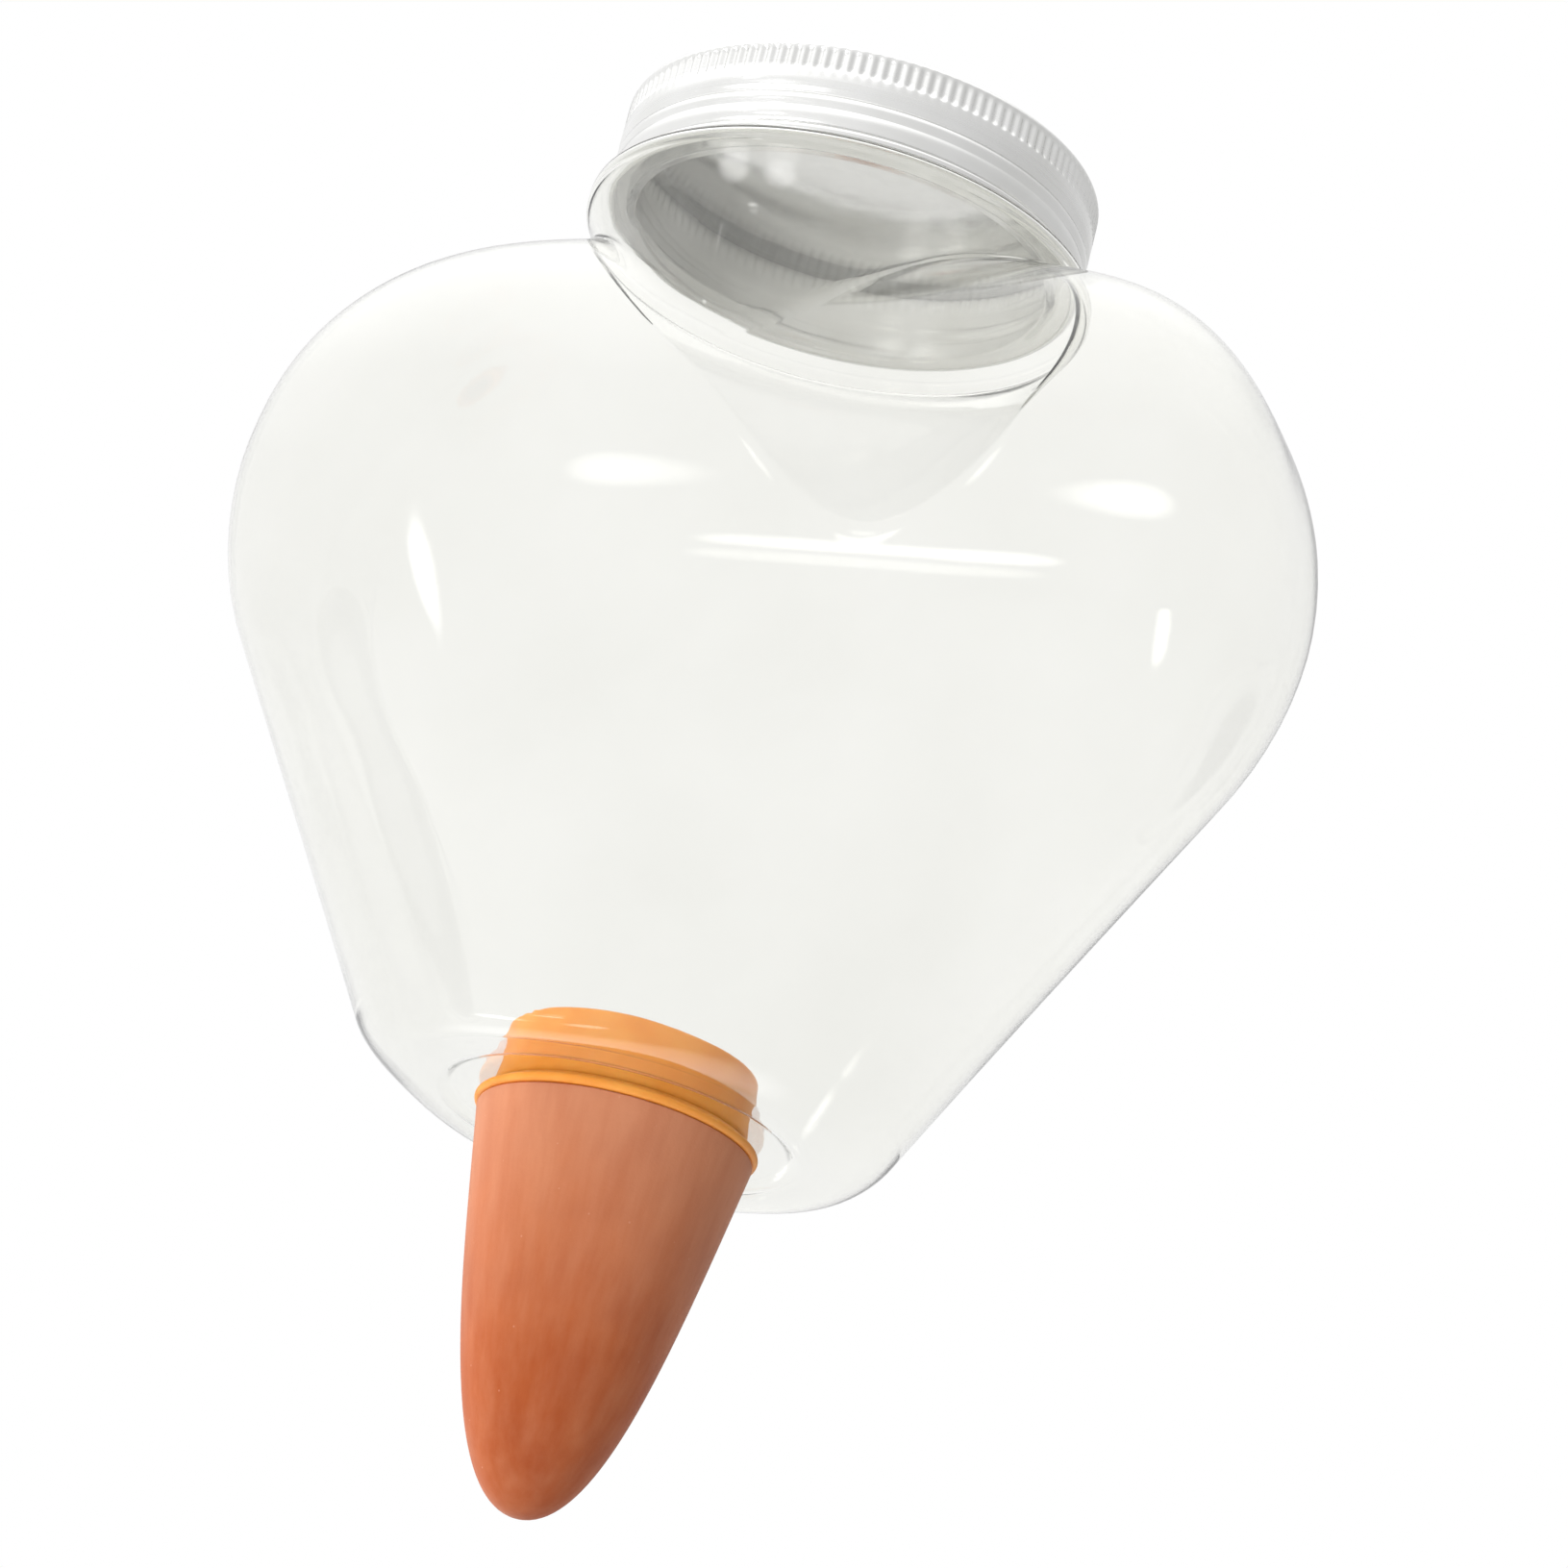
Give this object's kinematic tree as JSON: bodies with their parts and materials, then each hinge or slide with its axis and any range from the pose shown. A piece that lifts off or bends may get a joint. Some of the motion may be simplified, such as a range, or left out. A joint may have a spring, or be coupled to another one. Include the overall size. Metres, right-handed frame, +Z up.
{
  "type": "watering globe",
  "caption": "Clear heart-shaped plant watering globe with a knurled screw lid over its wide neck and a hollow clay spike that plugs into a rubber sleeve in its base.",
  "frame": {"origin": "middle of the jar's base, in the plane where the base rests on the soil", "axes": "+Z up from the spike to the lid, +X across the heart, front of the heart along -Y"},
  "size_m": [0.1578, 0.0746, 0.2074],
  "materials": {
    "clear_plastic": "clear glossy PET",
    "lid_metal": "bright rolled aluminium",
    "liner_foam": "closed-cell foam with a dull foil face",
    "sleeve_rubber": "satin orange rubber",
    "terracotta": "matt unglazed clay"
  },
  "bodies": {
    "spike": {"spike": "terracotta"},
    "jar": {"reservoir": "clear_plastic", "sleeve": "sleeve_rubber"},
    "liner": {"lid_liner": "liner_foam"},
    "lid": {"lid": "lid_metal"}
  },
  "joints": [
    {"name": "jar_lift", "type": "slide", "parent": "spike", "child": "jar", "axis": [0, 0, 1], "range_m": [0, 0.016]},
    {"name": "lid_lift", "type": "slide", "parent": "jar", "child": "liner", "axis": [0, 0, 1], "range_m": [0, 0.0127]},
    {"name": "lid_turn", "type": "hinge", "parent": "liner", "child": "lid", "pos_m": [0, 0, 0.1436], "axis": [0, 0, 1], "range_deg": [0, 1080]}
  ],
  "couplings": [
    {"joint": "lid_lift", "follows": "lid_turn", "m_per_rad": 0.00066845}
  ]
}
